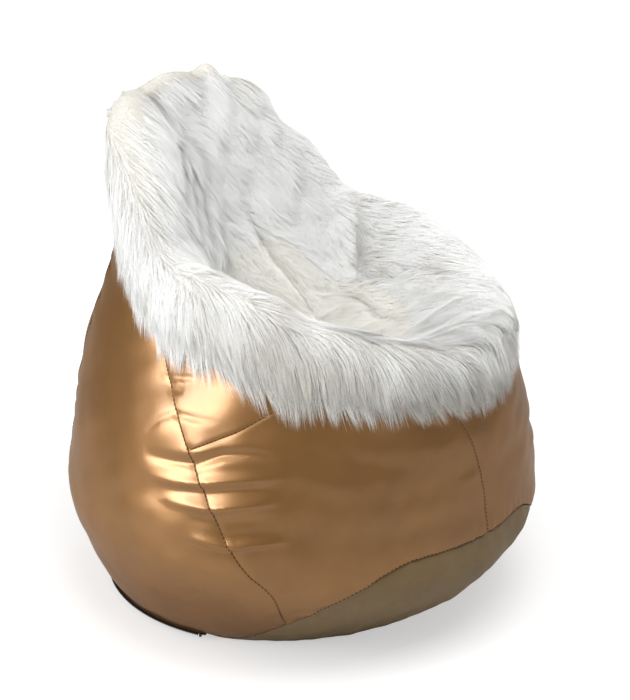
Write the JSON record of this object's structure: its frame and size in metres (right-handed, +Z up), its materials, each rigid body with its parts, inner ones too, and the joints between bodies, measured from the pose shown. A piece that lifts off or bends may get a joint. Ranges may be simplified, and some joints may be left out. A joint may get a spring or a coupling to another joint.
{
  "type": "bean bag chair",
  "caption": "Pear-shaped bean bag chair with a shiny imitation-leather body, a long-pile fur seat and rim, and a tough zipped base.",
  "frame": {"origin": "point on the floor under the middle of the body, on the base's flat underside", "axes": "-Y is the front of the seat, +X is the sitter's left-hand side seen from behind the chair, +Z is up"},
  "size_m": [0.8314, 0.8275, 0.8741],
  "materials": {
    "leather": "satin metallic imitation leather",
    "base_cloth": "matt heavy woven cloth",
    "fur": "long soft pile",
    "seat_fur": "long soft pile, pressed flatter",
    "zip_tape": "woven tape",
    "zip_metal": "antique",
    "liner_cloth": "non-woven cloth",
    "fastener_tape": "touch-and-close tape",
    "beads": "foamed beads"
  },
  "bodies": {
    "bag": {"base_panel": "base_cloth", "front_left_panel": "leather", "front_right_panel": "leather", "left_gusset": "leather", "right_gusset": "leather", "left_side_panel": "leather", "right_side_panel": "leather", "back_panel": "leather", "fur_front_roll": "fur", "fur_left_arm": "fur", "fur_right_arm": "fur", "fur_back": "fur", "fur_seat": "seat_fur", "zip_tape_lower": "zip_tape", "zip_tape_upper": "zip_tape", "zip_teeth": "zip_metal", "zip_stops": "zip_metal", "liner_wall": "liner_cloth", "liner_base": "liner_cloth", "liner_hook_strip": "fastener_tape", "liner_loop_strip": "fastener_tape", "bead_fill": "beads"},
    "slider": {"zip_slider": "zip_metal"},
    "pull": {"zip_pull": "zip_metal"}
  },
  "joints": [
    {"name": "zip_travel", "type": "hinge", "parent": "bag", "child": "slider", "pos_m": [-0.00751, 0.06387, 0.011], "axis": [0, 0, 1], "range_deg": [0, 189]},
    {"name": "pull_swing", "type": "hinge", "parent": "slider", "child": "pull", "pos_m": [0.30217, 0.11292, 0.011], "axis": [0, 0, 1], "range_deg": [0, 170]}
  ]
}
